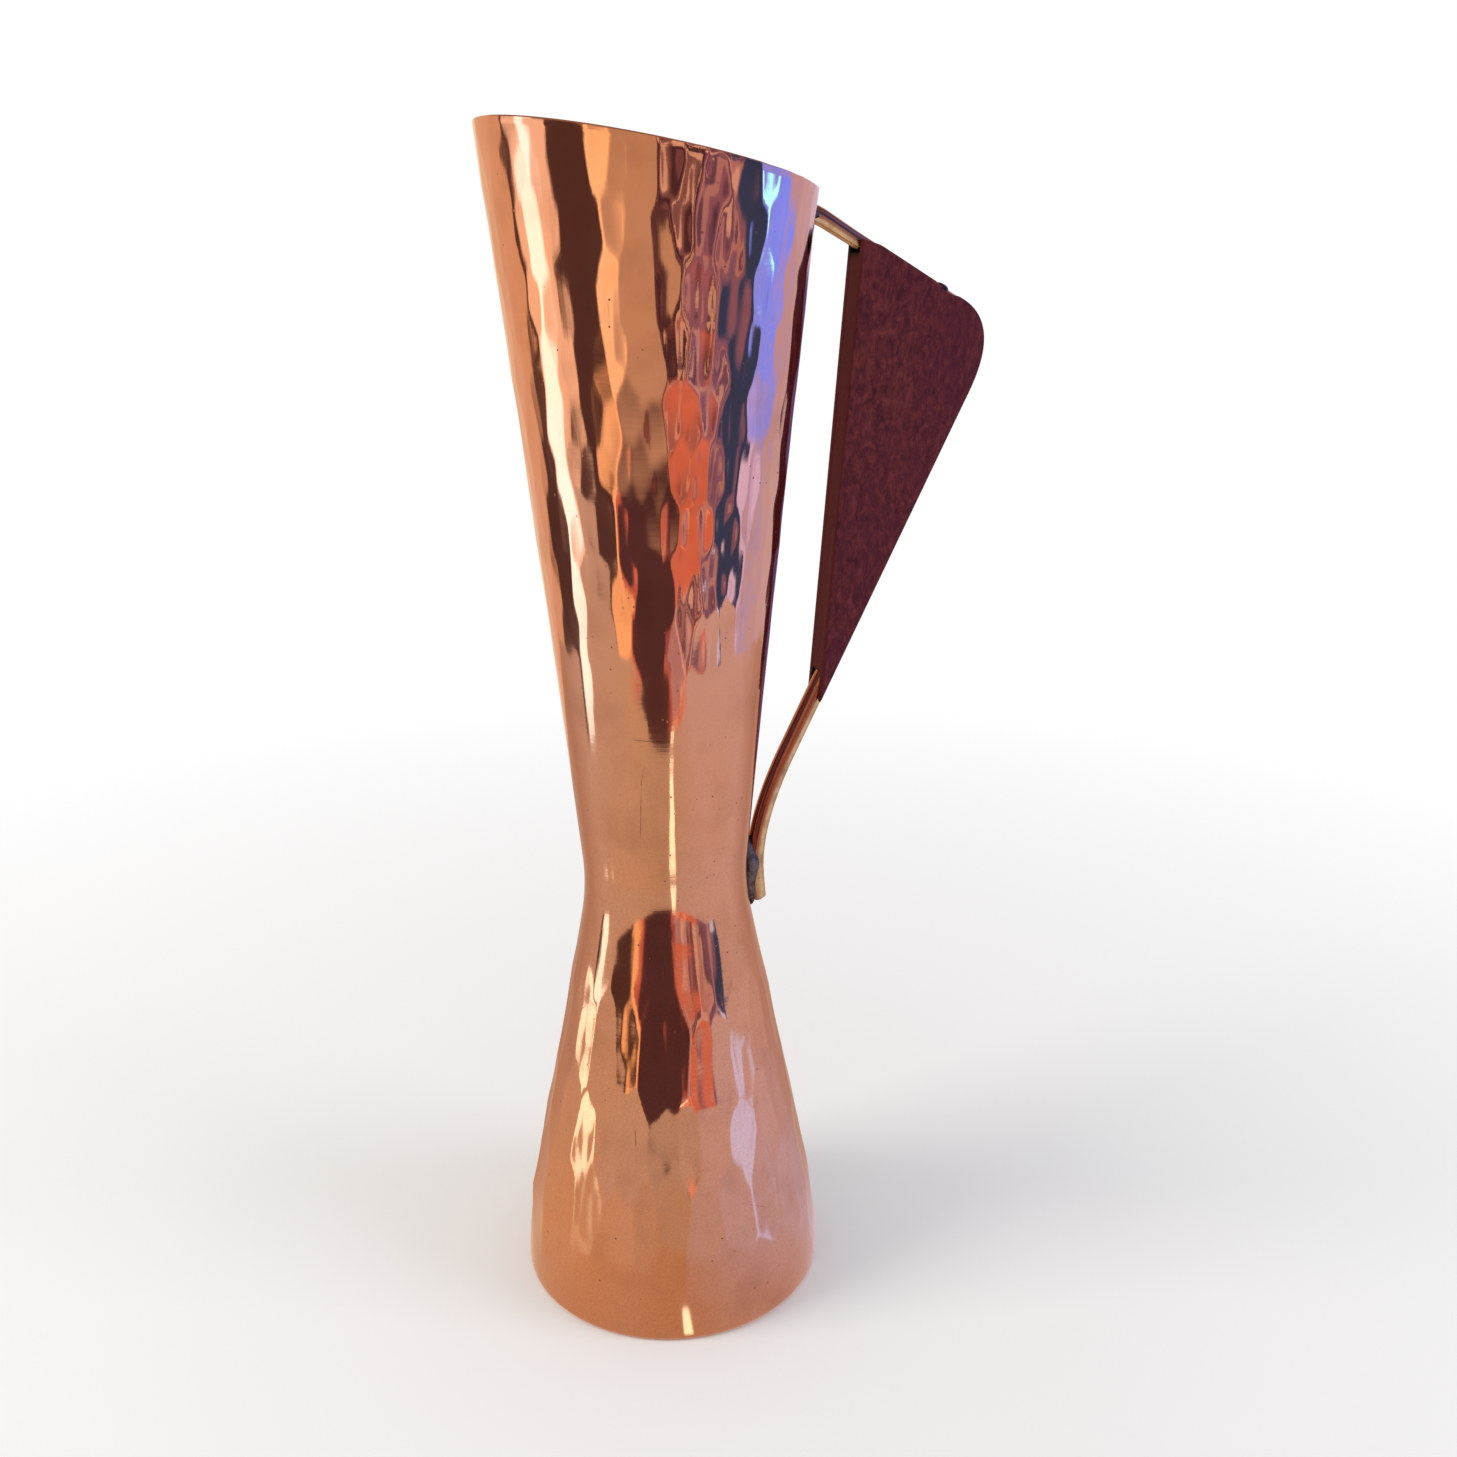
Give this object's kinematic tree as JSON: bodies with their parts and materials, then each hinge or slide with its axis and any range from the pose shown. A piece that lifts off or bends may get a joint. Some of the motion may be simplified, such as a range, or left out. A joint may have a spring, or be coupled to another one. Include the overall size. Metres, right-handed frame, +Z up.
{
  "type": "vase",
  "caption": "Tall waisted vase of hammered copper with a slanting rim and a bent brass rod handle that carries a triangular wooden grip.",
  "frame": {"origin": "middle of the flat base, on the surface that the vase stands on", "axes": "+Z up along the vase's axis, +X out from the axis through the handle, so the handle lies in the plane y = 0"},
  "size_m": [0.1505, 0.0952, 0.35],
  "materials": {
    "copper_wall": "hammered copper, softly polished, with faint pits and scratches",
    "copper_bottom": "plain copper sheet, dulled",
    "solder": "dull grey soft solder",
    "brass_rod": "drawn brass rod, brown with age",
    "dark_wood": "dark red-brown hardwood, oiled, nearly matt",
    "pin_metal": "dark domed nail head, worn"
  },
  "bodies": {
    "root": {"vase_body": "copper_wall", "base_disc": "copper_bottom", "base_solder": "solder", "handle_rod": "brass_rod", "upper_solder": "solder", "lower_solder": "solder", "grip": "dark_wood", "grip_pin": "pin_metal"}
  },
  "joints": []
}
